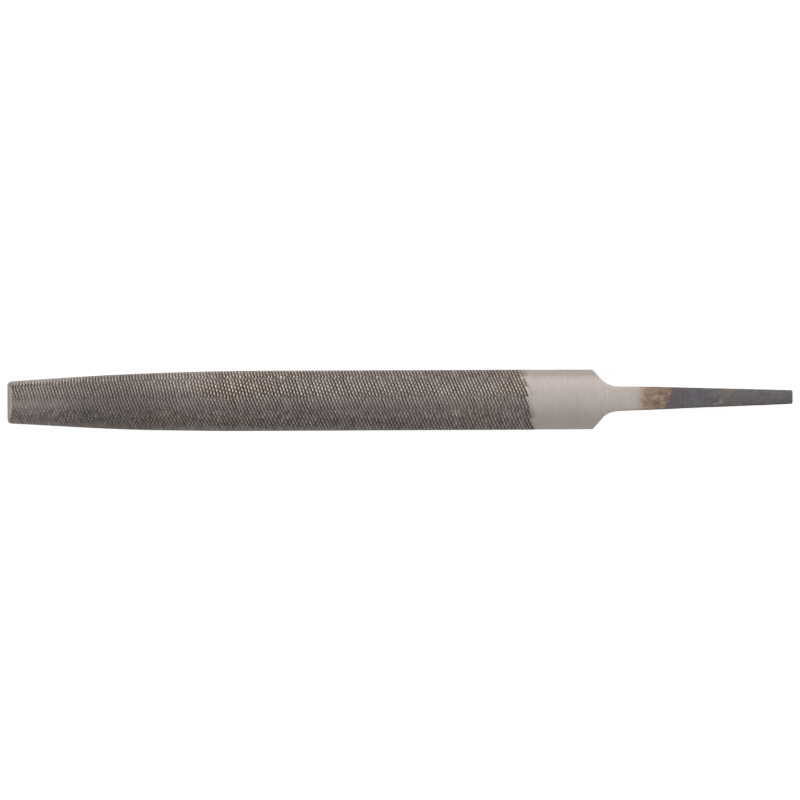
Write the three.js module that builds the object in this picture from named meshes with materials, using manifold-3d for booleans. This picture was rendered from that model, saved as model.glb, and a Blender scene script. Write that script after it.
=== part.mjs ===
// Half-round hand file, 150 mm cut length class, with a bare tang.
//
// The object is one forged, ground and cut piece of tool steel: a half-round
// blade that tapers towards its tip, a plain heel behind the cut, and a tang
// that goes into a handle. So the group holds one mesh.
//
// Frame, in millimetres: X along the file (tip at -X, tang at +X), Y across it,
// Z up. The flat face lies on Z = 0 and the round face is on top. The origin is
// at the centre of the bottom of the bounding box.
//
// "s" below is the distance from the tip along the file. Station tables are
// [s, value] pairs that are read with straight lines between the entries.

import * as THREE from 'three';
import { mergeVertices } from 'three/addons/utils/BufferGeometryUtils.js';
import Module from 'manifold-3d';

// ---- driving dimensions ----------------------------------------------------

const BLADE_LENGTH = 150;        // tip to shoulder
const TANG_LENGTH = 51.1;        // shoulder to the end of the tang
const TOTAL_LENGTH = BLADE_LENGTH + TANG_LENGTH;

const THICKNESS = 4.5;           // flat face to the crest of the round face
const TIP_THICKNESS = 2.7;       // the same at the tip
const EDGE_LAND = 0.4;           // height of the narrow upright land along both edges
const TIP_FACE_RAKE = 1.15;      // how far the end face leans back over the tip's thickness
const TIP_CORNER = 1.05;         // radius of the two tip corners in plan
const HEEL_RELIEF = 0.06;        // the plain heel lies this much below the crests of the teeth

// width of the blade over the crests of the teeth, then over the plain heel
const BLADE_WIDTH = [
  [0, 10.68], [1.1, 10.84], [5.7, 11.40], [9.5, 11.88], [13.4, 12.34], [17.2, 12.82],
  [21.1, 13.27], [24.9, 13.67], [28.8, 14.03], [32.6, 14.34], [36.5, 14.60], [40.3, 14.81],
  [44.2, 14.99], [48.0, 15.15], [51.8, 15.30], [55.7, 15.42], [60.0, 15.50], [132.4, 15.50],
  [134.2, 15.38], [150.0, 15.28],
];

// sideways position of the middle of the blade: the tip end is a trace off line
const BLADE_CENTRE = [[0, -0.20], [6, -0.17], [33, -0.14], [46, -0.06], [60, 0], [150, 0]];

// shoulder: a straight sheared chamfer, then a hollow run-out into the tang,
// as [s, half width] on the +Y side and on the -Y side
const SHOULDER_PLUS = [[150.0, 7.64], [152.1, 5.26], [152.7, 4.68], [153.4, 4.18], [154.2, 3.78], [155.0, 3.50], [155.9, 3.32]];
const SHOULDER_MINUS = [[150.0, 7.64], [152.8, 4.36], [153.5, 3.83], [154.3, 3.46], [155.1, 3.22], [155.9, 3.06]];

// tang in plan: [s, +Y edge, -Y edge]
const TANG_EDGES = [
  [159.6, 3.22, -2.88], [163.5, 3.18, -2.76], [167.3, 3.12, -2.62], [171.2, 3.00, -2.46],
  [175.0, 2.89, -2.30], [178.9, 2.77, -2.15], [182.7, 2.68, -2.04], [186.6, 2.56, -1.88],
  [190.4, 2.46, -1.75], [194.3, 2.35, -1.62], [198.1, 2.23, -1.46],
];
const TANG_END_PLUS = 2.17;      // +Y edge at the end of the tang
const TANG_END_MINUS = -1.34;    // -Y edge at the end of the tang
const TANG_END_CHAMFER = 0.3;    // small corner breaks at the end of the tang

// tang in side view: [s, height]
const TANG_TOP = [[150, 4.3], [158, 3.95], [168, 3.65], [185, 3.35], [201.1, 3.05]];
const TANG_BOTTOM = [[150, 0.0], [158, 0.35], [168, 0.65], [185, 0.95], [201.1, 1.20]];
const TANG_CROWN = 0.22;         // drop of the tang's top from its middle to its edges
const TANG_BLEND = [150, 166];   // where the round top turns into the tang's flatter top

const ARC_STEPS = 30;            // flats across the round face
const SIDE_SKIRT = 0.15;         // spare width that the plan outline trims away

// ---- curves ------------------------------------------------------------------

function read(table, s) {
  if (s <= table[0][0]) return table[0][1];
  for (let i = 1; i < table.length; i += 1) {
    if (s <= table[i][0]) {
      const [s0, v0] = table[i - 1];
      const [s1, v1] = table[i];
      return v0 + ((v1 - v0) * (s - s0)) / (s1 - s0);
    }
  }
  return table[table.length - 1][1];
}

function smooth(a, b, s) {
  const t = Math.min(1, Math.max(0, (s - a) / (b - a)));
  return t * t * (3 - 2 * t);
}

// crest height of the round face: thickness follows the taper of the width
function crest(s) {
  const share = (read(BLADE_WIDTH, Math.min(s, 60)) - BLADE_WIDTH[0][1]) / (15.5 - BLADE_WIDTH[0][1]);
  const relief = HEEL_RELIEF * smooth(132.4, 134.2, s);
  return TIP_THICKNESS + (THICKNESS - TIP_THICKNESS) * share - relief;
}

// half width of the blade's circle segment where it meets the edge land
function halfWidth(s) {
  return read(BLADE_WIDTH, Math.min(s, BLADE_LENGTH)) / 2;
}

function arcHeight(s, y) {
  const half = halfWidth(s);
  const rise = crest(s) - EDGE_LAND;
  const radius = (half * half + rise * rise) / (2 * rise);
  return crest(s) - radius + Math.sqrt(Math.max(0, radius * radius - y * y));
}

function tangTop(s, y) {
  const half = read([[150, 5], [158, 3.2], [201.1, 1.75]], s);
  return read(TANG_TOP, s) - TANG_CROWN * Math.min(1.6, (y / half) ** 2);
}

function topHeight(s, y) {
  const w = smooth(TANG_BLEND[0], TANG_BLEND[1], s);
  return (1 - w) * arcHeight(s, y) + w * tangTop(s, y);
}

function bottomHeight(s) {
  return s <= BLADE_LENGTH ? 0 : read(TANG_BOTTOM, s) * smooth(150, 158, s);
}

// ---- lofted body: a half-round section extruded along the stations -------------

const stations = [-0.02];
for (let s = 1.4; s < 60; s += 3.66) stations.push(s);
for (const s of [60, 84, 108, 132.4, 133.3, 134.2, 142, 150]) stations.push(s);
for (let s = 151; s <= 167; s += 1) stations.push(s);
for (const s of [171, 175, 180, 185, 190, 196, 202]) stations.push(s);

const section = new THREE.Shape();
section.moveTo(-1, 0);
section.lineTo(1, 0);
for (let k = 0; k <= ARC_STEPS; k += 1) section.lineTo(1 - (2 * k) / ARC_STEPS, 1);
section.closePath();

const loft = new THREE.ExtrudeGeometry(section, {
  depth: stations.length - 1,
  steps: stations.length - 1,
  bevelEnabled: false,
});

const p = loft.attributes.position;
for (let i = 0; i < p.count; i += 1) {
  const u = p.getX(i);
  const onTop = p.getY(i) > 0.5;
  const index = Math.round(p.getZ(i));
  const s = stations[index];
  const half = (s <= 151 ? halfWidth(s) : read([[151, 7.64], [156, 5.0], [202, 3.4]], s)) + SIDE_SKIRT;
  // equal turns of the arc rather than equal widths, so the flats are even
  const y = half * Math.sin((u * Math.PI) / 3) / Math.sin(Math.PI / 3);
  const z = onTop ? topHeight(s, y) : bottomHeight(s);
  const centre = read(BLADE_CENTRE, s);
  // the end face at the tip leans back by TIP_FACE_RAKE over the tip's thickness
  const lean = index === 0 ? (TIP_FACE_RAKE * z) / TIP_THICKNESS : 0;
  p.setXYZ(i, s + lean - TOTAL_LENGTH / 2, y + centre, z);
}

// ---- plan outline: a prism that trims the edges, corners, shoulders and tang ---

const at = (s, y) => [s - TOTAL_LENGTH / 2, y];
const plus = [];
const minus = [];
const corner = (angle) => [TIP_CORNER * (1 - Math.cos(angle)), TIP_CORNER * (1 - Math.sin(angle))];
for (let k = 0; k <= 6; k += 1) {
  const [ds, dy] = corner((k * Math.PI) / 12);
  plus.push(at(ds, halfWidth(ds) - dy + read(BLADE_CENTRE, ds)));
  minus.push(at(ds, -halfWidth(ds) + dy + read(BLADE_CENTRE, ds)));
}
for (const [s, width] of BLADE_WIDTH) {
  if (s <= TIP_CORNER || s >= BLADE_LENGTH) continue;
  plus.push(at(s, width / 2 + read(BLADE_CENTRE, s)));
  minus.push(at(s, -width / 2 + read(BLADE_CENTRE, s)));
}
for (const [s, half] of SHOULDER_PLUS) plus.push(at(s, half));
for (const [s, half] of SHOULDER_MINUS) minus.push(at(s, -half));
for (const [s, top, bottom] of TANG_EDGES) {
  plus.push(at(s, top));
  minus.push(at(s, bottom));
}
plus.push(at(TOTAL_LENGTH - TANG_END_CHAMFER, TANG_END_PLUS), at(TOTAL_LENGTH, TANG_END_PLUS - TANG_END_CHAMFER));
minus.push(at(TOTAL_LENGTH - TANG_END_CHAMFER, TANG_END_MINUS), at(TOTAL_LENGTH, TANG_END_MINUS + TANG_END_CHAMFER));

const outline = new THREE.Shape();
[...minus, ...plus.reverse()].forEach(([x, y], i) => (i ? outline.lineTo(x, y) : outline.moveTo(x, y)));
outline.closePath();
const prism = new THREE.ExtrudeGeometry(outline, { depth: THICKNESS + 2, bevelEnabled: false });
prism.translate(0, 0, -1);

// ---- join ----------------------------------------------------------------------

const wasm = await Module();
wasm.setup();

function solid(geometry) {
  const bare = geometry.clone();
  bare.deleteAttribute('normal');
  bare.deleteAttribute('uv');
  const merged = mergeVertices(bare, 1e-5);
  return new wasm.Manifold(new wasm.Mesh({
    numProp: 3,
    vertProperties: new Float32Array(merged.attributes.position.array),
    triVerts: new Uint32Array(merged.index.array),
  }));
}

function geometryOf(manifold) {
  const mesh = manifold.getMesh();
  const geometry = new THREE.BufferGeometry();
  geometry.setAttribute('position', new THREE.BufferAttribute(new Float32Array(mesh.vertProperties), 3));
  geometry.setIndex(new THREE.BufferAttribute(new Uint32Array(mesh.triVerts), 1));
  geometry.computeVertexNormals();
  return geometry;
}

const steel = new THREE.MeshStandardMaterial({ color: 0x8a827c, roughness: 0.42, metalness: 1.0 });

const body = new THREE.Mesh(geometryOf(solid(loft).intersect(solid(prism))), steel);
body.name = 'file_body';

const file = new THREE.Group();
file.name = 'half_round_file';
file.add(body);

export default file;
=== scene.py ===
"""Half-round file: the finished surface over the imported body.

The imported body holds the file's size and shape without its teeth. Here one
closed mesh stands for it, in the same frame, with every tooth of the double
cut on both faces, the plain ground heel, the bare ground shoulder and the
temper colours of the tang.
"""
import math

import bpy
import numpy as np
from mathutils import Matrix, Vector
from mathutils.geometry import delaunay_2d_cdt


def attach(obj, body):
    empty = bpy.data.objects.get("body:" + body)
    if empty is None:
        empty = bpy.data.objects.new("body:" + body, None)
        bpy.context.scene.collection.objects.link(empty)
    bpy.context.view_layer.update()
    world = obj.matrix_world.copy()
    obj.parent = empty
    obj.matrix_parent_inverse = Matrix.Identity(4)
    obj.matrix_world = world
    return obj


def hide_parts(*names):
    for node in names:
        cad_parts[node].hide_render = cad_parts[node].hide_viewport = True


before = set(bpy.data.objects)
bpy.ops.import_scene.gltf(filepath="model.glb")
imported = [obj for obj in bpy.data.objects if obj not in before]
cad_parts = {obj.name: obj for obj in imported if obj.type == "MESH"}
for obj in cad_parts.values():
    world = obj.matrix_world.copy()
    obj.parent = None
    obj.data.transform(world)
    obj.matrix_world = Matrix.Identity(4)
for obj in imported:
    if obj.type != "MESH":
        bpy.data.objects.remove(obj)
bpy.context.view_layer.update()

# ---------------------------------------------------------------------------
# Dimensions, in millimetres. s is the distance from the tip, y is across.
# ---------------------------------------------------------------------------
TOTAL = 201.1
BLADE = 150.0
THICKNESS, TIP_THICKNESS = 4.5, 2.7
EDGE_LAND = 0.4
TIP_RAKE = 1.15
TIP_CORNER = 1.05
RELIEF = 0.06

WIDTH = np.array([
    [0, 10.68], [1.1, 10.84], [5.7, 11.40], [9.5, 11.88], [13.4, 12.34], [17.2, 12.82],
    [21.1, 13.27], [24.9, 13.67], [28.8, 14.03], [32.6, 14.34], [36.5, 14.60], [40.3, 14.81],
    [44.2, 14.99], [48.0, 15.15], [51.8, 15.30], [55.7, 15.42], [60.0, 15.50], [150.0, 15.50]])
CENTRE = np.array([[0, -0.20], [6, -0.17], [33, -0.14], [46, -0.06], [60, 0], [150, 0]])
SHOULDER_PLUS = [[150.0, 7.64], [152.1, 5.26], [152.7, 4.68], [153.4, 4.18], [154.2, 3.78], [155.0, 3.50], [155.9, 3.32]]
SHOULDER_MINUS = [[150.0, 7.64], [152.8, 4.36], [153.5, 3.83], [154.3, 3.46], [155.1, 3.22], [155.9, 3.06]]
TANG_EDGES = [
    [159.6, 3.22, -2.88], [163.5, 3.18, -2.76], [167.3, 3.12, -2.62], [171.2, 3.00, -2.46],
    [175.0, 2.89, -2.30], [178.9, 2.77, -2.15], [182.7, 2.68, -2.04], [186.6, 2.56, -1.88],
    [190.4, 2.46, -1.75], [194.3, 2.35, -1.62], [198.1, 2.23, -1.46]]
TANG_END = (2.17, -1.34, 0.3)
TANG_TOP = np.array([[150, 4.3], [158, 3.95], [168, 3.65], [185, 3.35], [201.1, 3.05]])
TANG_BOTTOM = np.array([[150, 0.0], [158, 0.35], [168, 0.65], [185, 0.95], [201.1, 1.20]])
TANG_CROWN = 0.22


def smooth(a, b, x):
    t = np.clip((np.asarray(x, float) - a) / (b - a), 0, 1)
    return t * t * (3 - 2 * t)


def width(s):
    return np.interp(s, WIDTH[:, 0], WIDTH[:, 1])


def centre(s):
    return np.interp(s, CENTRE[:, 0], CENTRE[:, 1])


def crest(s):
    share = (width(np.minimum(s, 60)) - WIDTH[0, 1]) / (15.5 - WIDTH[0, 1])
    return TIP_THICKNESS + (THICKNESS - TIP_THICKNESS) * share


def arc(s, y):
    """Height and outward normal (ny, nz) of the round face at the teeth's crests. y is from the blade's middle."""
    half = width(s) / 2
    rise = crest(s) - EDGE_LAND
    radius = (half * half + rise * rise) / (2 * rise)
    root = np.sqrt(np.maximum(radius * radius - y * y, 1e-6))
    return crest(s) - radius + root, y / radius, root / radius


def arc_radius(s):
    half = width(s) / 2
    rise = crest(s) - EDGE_LAND
    return (half * half + rise * rise) / (2 * rise)


def tang_top(s, y):
    half = np.interp(s, [150, 158, 201.1], [5, 3.2, 1.75])
    return np.interp(s, TANG_TOP[:, 0], TANG_TOP[:, 1]) - TANG_CROWN * np.minimum(1.6, (y / half) ** 2)


def bottom_base(s):
    return np.where(s <= BLADE, 0.0, np.interp(s, TANG_BOTTOM[:, 0], TANG_BOTTOM[:, 1]) * smooth(150, 158, s))


# ---------------------------------------------------------------------------
# The cut. Two families of straight chisel cuts cross: the shallow overcut
# first, then the deeper upcut, whose burrs the overcut divides into teeth.
# Each family is a phase that is linear in (w, y), where w is the distance
# along the file with the slow drift of the machine's pitch taken out.
# ---------------------------------------------------------------------------
UNIT = 0.25644
_s = np.linspace(-6, 160, 3000)
_rate = np.interp(_s, [0, 40, 95, 120, 140], [1.030, 1.012, 0.985, 0.990, 1.0])
_w = np.concatenate([[0], np.cumsum((_rate[1:] + _rate[:-1]) / 2 * np.diff(_s))])


def warp(s):
    return np.interp(s, _s, _w)


def unwarp(w):
    return np.interp(w, _w, _s)


class Cut:
    """One strip of the cut, over a share of the width: both families' frequencies (per mm) and phases.

    A chisel's line is straight on the unrolled face, so on the round side the
    phases are linear in the distance round the arc, not in y.
    """

    def __init__(self, name, lo, hi, kx, tilt, bx, btilt, end, end_y, seed, round_face=True,
                 soft=0.0, wide=1.0, clean=1.0, notch=1.0, tip_soft=0.0, tip_notch=1.0, worn=1.0, uneven=1.0, fan=None, last=(-9.0, 9.0, 1.0),
                 run=((0.38, 0.80), (0.85, 0.60), (1.40, 0.35), (2.0, 0.15))):
        self.name, self.lo, self.hi, self.round = name, lo, hi, round_face
        # soft: how much shallower this strip is cut, and tip_soft: how much more so by the tip; wide: how much of a
        # tooth its groove takes; clean:
        # how much brighter its teeth are painted, as painted light, strongest on the top strip that faces the light;
        # notch: how deep the overcut is, and tip_notch: how many times that it is by the tip;
        # worn: how far it follows the wear along the blade; uneven: how much its teeth differ in brightness;
        # last: (y from, y to, share of the depth) of the final groove; run: how the overcut runs out past it, as
        # (pitches, share)
        self.soft, self.wide, self.clean, self.notch, self.tip_notch = soft, wide, clean, notch, tip_notch
        self.worn, self.uneven, self.last, self.run, self.tip_soft = worn, uneven, last, run, tip_soft
        r = np.random.default_rng(seed)
        self.a = (kx, math.tan(math.radians(tilt)) * kx)
        # fan: rows of (s, tilt, pitch rate) for upcut lines that turn along the blade, about the strip's middle
        self.fan = None if fan is None else np.array(fan, float).T
        if self.fan is not None:
            rate = np.interp(_s, self.fan[0], self.fan[2])
            self.drift = np.concatenate([[0], np.cumsum((rate[1:] + rate[:-1]) / 2 * np.diff(_s))]) - _w
        self.b = (bx, -math.tan(math.radians(btilt)) * bx)
        # the last groove passes through (end, end_y)
        slope, middle, extra = self.turn(end)
        self.a0 = -(self.a[0] * warp(end) + extra + slope * float(self.round_u(end, end_y) - middle))
        self.b0 = r.uniform(0, 1)
        n = 420
        drift = np.convolve(r.normal(0, 1, n + 8), np.ones(9) / 3.0, "valid")
        self.ja = 0.018 * r.normal(0, 1, n) + 0.012 * drift
        self.ra = np.clip(1 + 0.055 * r.normal(0, 1, n), 0.85, 1.15)
        self.jb = 0.030 * r.normal(0, 1, n)
        self.rb = np.clip(1 + 0.16 * r.normal(0, 1, n), 0.6, 1.35)

    def round_u(self, s, y):
        if not self.round:
            return y
        rad = arc_radius(s)
        return rad * np.arcsin(np.clip(y / rad, -0.95, 0.95))

    def turn(self, s):
        """Slope of the upcut lines at s, the distance round the arc they turn about, and their phase's drift."""
        if self.fan is None:
            return self.a[1], 0.0, 0.0
        slope = self.a[0] * np.tan(np.radians(np.interp(s, self.fan[0], self.fan[1])))
        middle = 0.5 * (self.lo + min(self.hi, 1.0))
        return slope, self.round_u(s, middle * width(s) / 2), self.a[0] * np.interp(s, _s, self.drift)

    def place(self, i, fa, j, fb):
        """(s, y) where upcut line i + fa crosses overcut line j + fb."""
        ia, jb = i + 300, j + 200
        pa = i + fa + self.ja[ia] * (1 - fa) + self.ja[np.minimum(ia + 1, 419)] * fa - self.a0
        pb = j + fb + self.jb[jb] * (1 - fb) + self.jb[np.minimum(jb + 1, 419)] * fb - self.b0
        ax, (bx, by) = self.a[0], self.b
        s = unwarp(pa / ax)
        for _ in range(1 if self.fan is None else 10):
            ay, middle, extra = self.turn(s)
            pc = pa + ay * middle - extra
            det = ax * by - ay * bx
            s = unwarp((pc * by - ay * pb) / det)
            u = (ax * pb - bx * pc) / det
        if not self.round:
            return s, u
        rad = arc_radius(s)
        y = rad * np.sin(np.clip(u / rad, -1.5, 1.5))
        return s, np.where(np.abs(u / rad) < 1.4, y, 1e3)

    def phase(self, s, y):
        w, u = warp(s), self.round_u(s, y)
        ay, middle, extra = self.turn(s)
        return self.a[0] * w + ay * (u - middle) + extra + self.a0, self.b[0] * w + self.b[1] * u + self.b0


# upcut profile from one tooth's edge to the next, going towards the tang: the
# long back falls into the groove, then the steep face rises to the next edge,
# so the teeth point at the tip
UP_AT = np.array([0.0, 0.16, 0.36, 0.60, 0.81, 1.0])
UP_DEPTH = np.array([0.0, 0.22, 0.52, 0.82, 1.0, 0.0])
# overcut profile: a narrower, shallower V
OVER_AT = np.array([0.0, 0.20, 0.5, 0.80, 1.0])
OVER_DEPTH = np.array([1.0, 0.22, 0.0, 0.22, 1.0])
DEEP, NOTCH = 0.30, 0.15


def tooth_depth(fa, fb, ra, rb, notch=1.0):
    """Depth below the crest, and the share of it that is groove (0 edge, 1 bottom)."""
    up = np.interp(fa, UP_AT, UP_DEPTH)
    over = np.interp(fb, OVER_AT, OVER_DEPTH)
    depth = DEEP * ra * up + NOTCH * notch * rb * over * (1 - 0.75 * up)
    return depth, np.clip(depth / DEEP, 0, 1.2)


ROUND_CUTS = [
    Cut("r1", 0.773, 1.01, 0.313 / UNIT, 18.5, 0.242 / UNIT, 29.5, 131.90, 6.9, 11, soft=-0.20, wide=1.08, clean=1.42,
        notch=0.95, tip_notch=0.5, last=(-9, 9, 0.55), run=((0.38, 0.95), (0.85, 0.85), (1.40, 0.70), (2.0, 0.45), (2.7, 0.15)),
        fan=((0, 3.5, 1.042), (10, 3.6, 1.043), (24, 4.7, 1.046), (44, 8.7, 1.030), (62, 13.0, 1.017), (83, 14.8, 1.003),
             (100, 15.6, 0.989), (123, 17.3, 0.977), (140, 18.5, 0.975))),
    Cut("r2", 0.108, 0.773, 0.310 / UNIT, 17.5, 0.240 / UNIT, 33.5, 133.36, 3.4, 12, soft=0.10, wide=0.96, clean=1.03,
        notch=0.92, tip_soft=0.08, tip_notch=0.75, last=(3.2, 5.6, 0.75), run=((0.38, 0.60), (0.85, 0.30), (1.40, 0.10)),
        fan=((0, 18.5, 1.034), (24, 17.5, 1.034), (44, 12.5, 1.028), (62, 15.2, 1.014), (83, 18.4, 0.998),
             (100, 19.6, 0.982), (123, 21.0, 0.982), (140, 21.8, 0.985))),
    Cut("r3", -0.323, 0.108, 0.2985 / UNIT, 22.0, 0.245 / UNIT, 36.0, 133.17, -0.8, 13, soft=0.23, clean=0.97, notch=0.80,
        tip_soft=0.25, worn=0.7),
    Cut("r4", -0.604, -0.323, 0.2955 / UNIT, 24.5, 0.247 / UNIT, 31.0, 133.97, -3.6, 14, soft=0.31, clean=1.04, notch=1.15,
        tip_notch=1.9, worn=0.8, uneven=2.2, run=((0.38, 0.85), (0.85, 0.75), (1.40, 0.60), (2.1, 0.30), (2.9, 0.10)),
        fan=((0, 26.5, 1.026), (24, 26.2, 1.024), (44, 25.2, 1.016), (62, 25.0, 1.001), (83, 23.8, 0.993),
             (100, 21.8, 0.992), (123, 20.5, 0.997), (140, 20.0, 1.0))),
    Cut("r5", -1.01, -0.604, 0.298 / UNIT, 20.5, 0.248 / UNIT, 26.5, 134.20, -6.2, 15, soft=0.12, wide=1.02, clean=0.97,
        notch=1.10, tip_soft=0.14, worn=0.8, uneven=1.8,
        fan=((0, 30.5, 1.032), (24, 29.5, 1.024), (44, 24.8, 1.015), (62, 22.5, 1.001), (83, 19.4, 0.996),
             (100, 18.9, 0.989), (123, 19.9, 0.985), (140, 20.5, 0.987))),
]
FLAT_CUTS = [
    Cut("f1", -1.01, 1.01, 0.300 / UNIT, -24.0, 0.243 / UNIT, -38.0, 133.2, 0.0, 21, round_face=False),
]


def painted_shading_and_tone(s, y):
    """Slow change of the teeth's brightness over the blade, largely painted light and shade: the cut is duller some way
    behind the tip, and across the width the teeth are painted brighter along the +Y edge, which faces the key light,
    and lighter or darker in bands where the light falls on them more or less.
    """
    along = np.interp(s, [0, 8, 18, 34, 48, 56, 68, 90, 134], [0.93, 0.91, 0.76, 0.76, 0.98, 1.04, 1.03, 1.0, 1.0])
    # painted light and shade across the width: brightest along the +Y edge, which faces the key light
    across = np.interp(2 * y / width(s), [-1.0, -0.75, -0.55, -0.37, -0.20, -0.08, 0.08, 0.25, 0.42, 0.60, 0.75, 0.95],
                       [1.10, 1.0, 0.98, 0.91, 0.95, 1.04, 0.97, 0.82, 0.88, 0.95, 1.22, 1.50])
    ends = 0.32 * (1 - smooth(10, 28, s)) + 0.12 * smooth(96, 122, s)
    ends = ends * smooth(2.0, -1.5, y) * (1 - 0.45 * smooth(-1.6, -3.2, y) * (1 - smooth(20, 40, s)))
    tip_top = 0.20 * (1 - smooth(24, 46, s)) * smooth(2.2, 3.6, y) * (1 - 0.7 * smooth(4.4, 5.6, y))
    rim = smooth(0.70, 0.80, 2 * y / width(s))
    tip_top = tip_top + (0.14 * (1 - smooth(22, 44, s)) + 0.15 * (1 - smooth(6, 18, s))) * rim
    top = np.interp(s, [0, 46, 61, 80, 100, 123, 134], [1.0, 1.0, 1.08, 0.98, 0.88, 0.87, 0.92])
    low = 1 - 0.07 * smooth(44, 58, s) * (1 - smooth(68, 90, s))
    dull = 1 - 0.17 * np.exp(-((s - 38) / 9) ** 2 - ((y - 2.2) / 1.7) ** 2)
    return dull * along * across * (1 + ends - tip_top + (top - 1) * smooth(2.2, 3.8, y) + (low - 1) * smooth(0.5, -1.0, y))


def edge_fade(s, y, d):
    """Share of the tooth's depth left at distance d from the blade's edge: the cut runs out before the edge near the tip.

    It does so much further down the blade along the -Y edge.
    """
    grow = np.where(y > 0, smooth(6, 38, s), smooth(62, 122, s))
    at_edge = np.where(y > 0, 0.03 + 0.87 * grow, 0.06 + 0.54 * grow)
    start = np.where(y > 0, 0.08, 0.50) * (1 - grow)
    reach = np.where(y > 0, 1.20, 1.50) * (1 - grow) + 0.35 * grow
    return at_edge + (1 - at_edge) * smooth(0.0, 1.0, (d - start) / (reach - start))


def tip_wear(s):
    """The teeth are a little shallower towards the tip."""
    return np.interp(s, [0, 8, 28, 42, 50, 58, 72, 100, 134], [0.82, 0.80, 0.70, 0.75, 0.90, 1.22, 1.08, 0.93, 0.88])


def ease(share, k, mean):
    """Draw the groove share towards its mean, for teeth that are worn or cut less deep."""
    return mean + (share - mean) * k


def last_groove(cut, i, y):
    """Share of the depth left in the final groove, which some strips only have in part."""
    y0, y1, share = cut.last
    part = share * smooth(y0 - 0.35, y0 + 0.45, y) * (1 - smooth(y1 - 0.45, y1 + 0.35, y))
    return np.where(i == -1, part, 1.0)


def finish(cut, s, y, i, fa, j, fb):
    """Depth, groove share, brightness and share of cut at phases (i + fa, j + fb) of a strip."""
    rb = np.where(fb < 0.5, cut.rb[j + 200], cut.rb[j + 201])
    notch = cut.notch * (cut.tip_notch + (1 - cut.tip_notch) * smooth(24, 60, s))
    depth, share = tooth_depth(fa, fb, cut.ra[i + 300], rb, notch)
    one = np.ones(len(s))
    if cut.round:
        fade = edge_fade(s, y, width(s) / 2 - np.abs(y))
        wear = 1 + (tip_wear(s) - 1) * cut.worn
        end = last_groove(cut, i, y)
        # a strip that is cut less deep is shallowest of all by the tip
        by_tip = 1 - smooth(6, 24, s)
        soft = 1 - cut.soft * (1 + 0.7 * by_tip) - cut.tip_soft * by_tip
        depth = depth * fade * wear * end * soft * (0.75 + 0.25 * cut.wide) + RELIEF * 0.7 * (1 - end)
        share = ease(share * cut.wide, wear * soft, 0.42 * cut.wide)
        share = ease(share, fade, np.where(y > 0, 0.27, 0.44)) * end
        one = 0.15 + 0.85 * np.maximum(end, (i != -1))
    # the tint carries painted light and shade across the blade as well as the tooth-to-tooth tone
    tint = cut.rb[(i * 7 + j * 13) % 419] * 0.5 + cut.ra[(i * 3 + j * 5) % 419] * 0.5
    tint = (1 + (tint - 1) * cut.uneven) * cut.clean * painted_shading_and_tone(s, y)
    if cut.round:
        # painted shade: the edge before a shallow last groove is painted darker, damping the highlight the key light
        # lays along its slope
        tint = np.where(i == -1, tint * (0.40 + 0.60 * end), tint)
    return depth, share, tint, one


def seam(upper, lower, step):
    """Points along the line where two strips meet: each cuts a little into the other, which evens their teeth out."""
    s = np.arange(1.35, 134.0, step)
    y = upper.lo * width(s) / 2
    out = []
    for c in (upper, lower):
        a, b = c.phase(s, y)
        out.append((a,) + finish(c, s, y, np.floor(a).astype(int), a - np.floor(a), np.floor(b).astype(int), b - np.floor(b)))
    keep = (out[0][0] < -0.12) & (out[1][0] < -0.12)
    depth, share, tint, one = (0.5 * (out[0][k] + out[1][k])[keep] for k in (1, 2, 3, 4))
    by_tip = (1 - smooth(14, 44, s)) * (y > 2)
    return s[keep], y[keep], (depth + 0.035 * (1 - by_tip)[keep]), ease(share, (0.8 - 0.4 * by_tip)[keep], 0.42), 0.9 * tint, one


def along_lines(keep, wanted, run, first):
    """Pairs of neighbours on the same line, where both points are kept. Lines are runs of the same number of points."""
    number = np.where(keep, np.cumsum(keep) - 1 + first, -1)
    n = np.arange(len(keep) - 1)
    both = keep[:-1] & keep[1:] & wanted[:-1] & (n % run != run - 1)
    return np.stack([number[:-1][both], number[1:][both]], 1)


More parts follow.
